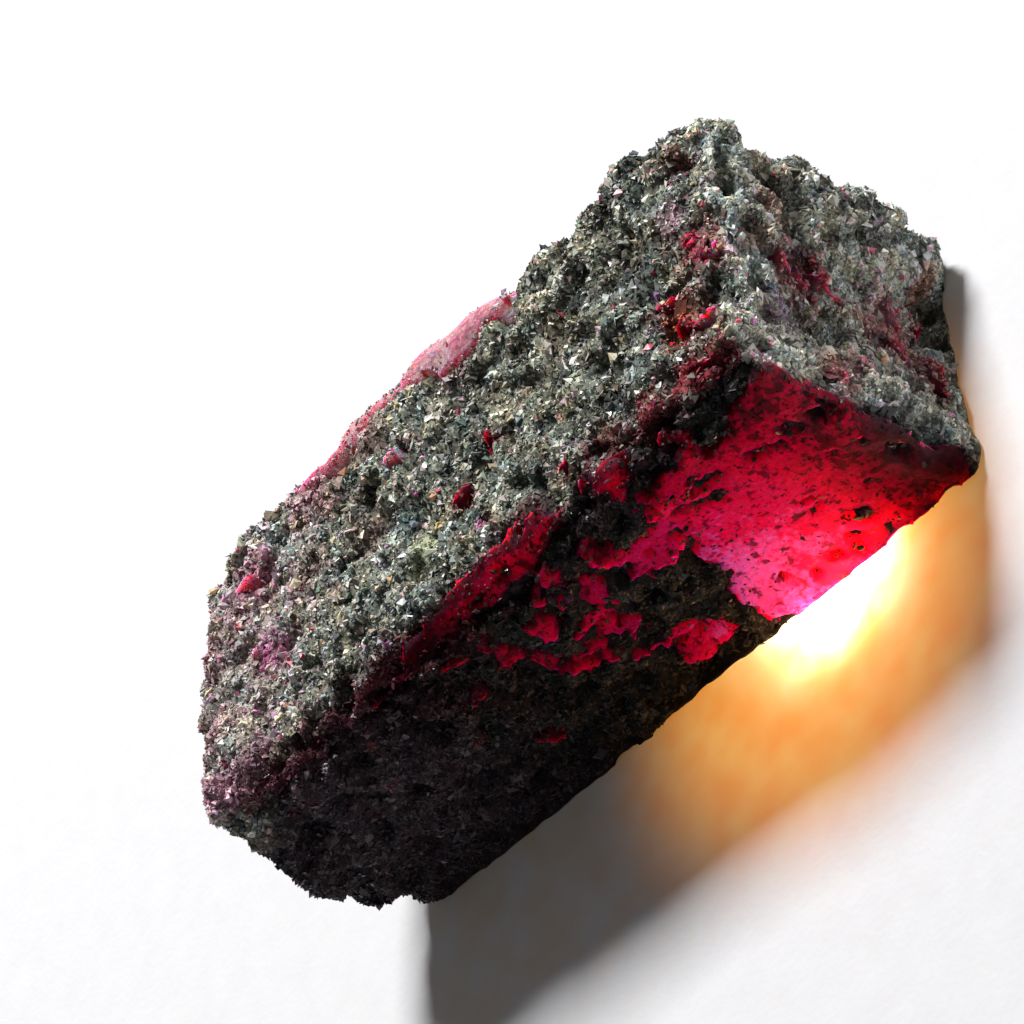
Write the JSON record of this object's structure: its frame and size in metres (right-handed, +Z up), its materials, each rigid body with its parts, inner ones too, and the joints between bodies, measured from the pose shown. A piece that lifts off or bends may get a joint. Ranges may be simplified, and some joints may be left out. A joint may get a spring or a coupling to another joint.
{
  "type": "raw ruby crystal",
  "caption": "Block-shaped raw ruby crystal with flat parting faces, a granular matrix crust and bare translucent red windows, resting on its flat foot.",
  "frame": {"origin": "middle of the bounding box, on the ground under the flat foot", "axes": "+X along the block towards the end with the crusted knob, -Y out of the long side with the bare red window, +Z up"},
  "size_m": [0.0366, 0.016, 0.0132],
  "materials": {
    "ruby_crystal": "rough dark grey-green sandy matrix skin over translucent deep red ruby, satin where the crystal is bare"
  },
  "bodies": {
    "root": {"ruby_crystal": "ruby_crystal"}
  },
  "joints": []
}
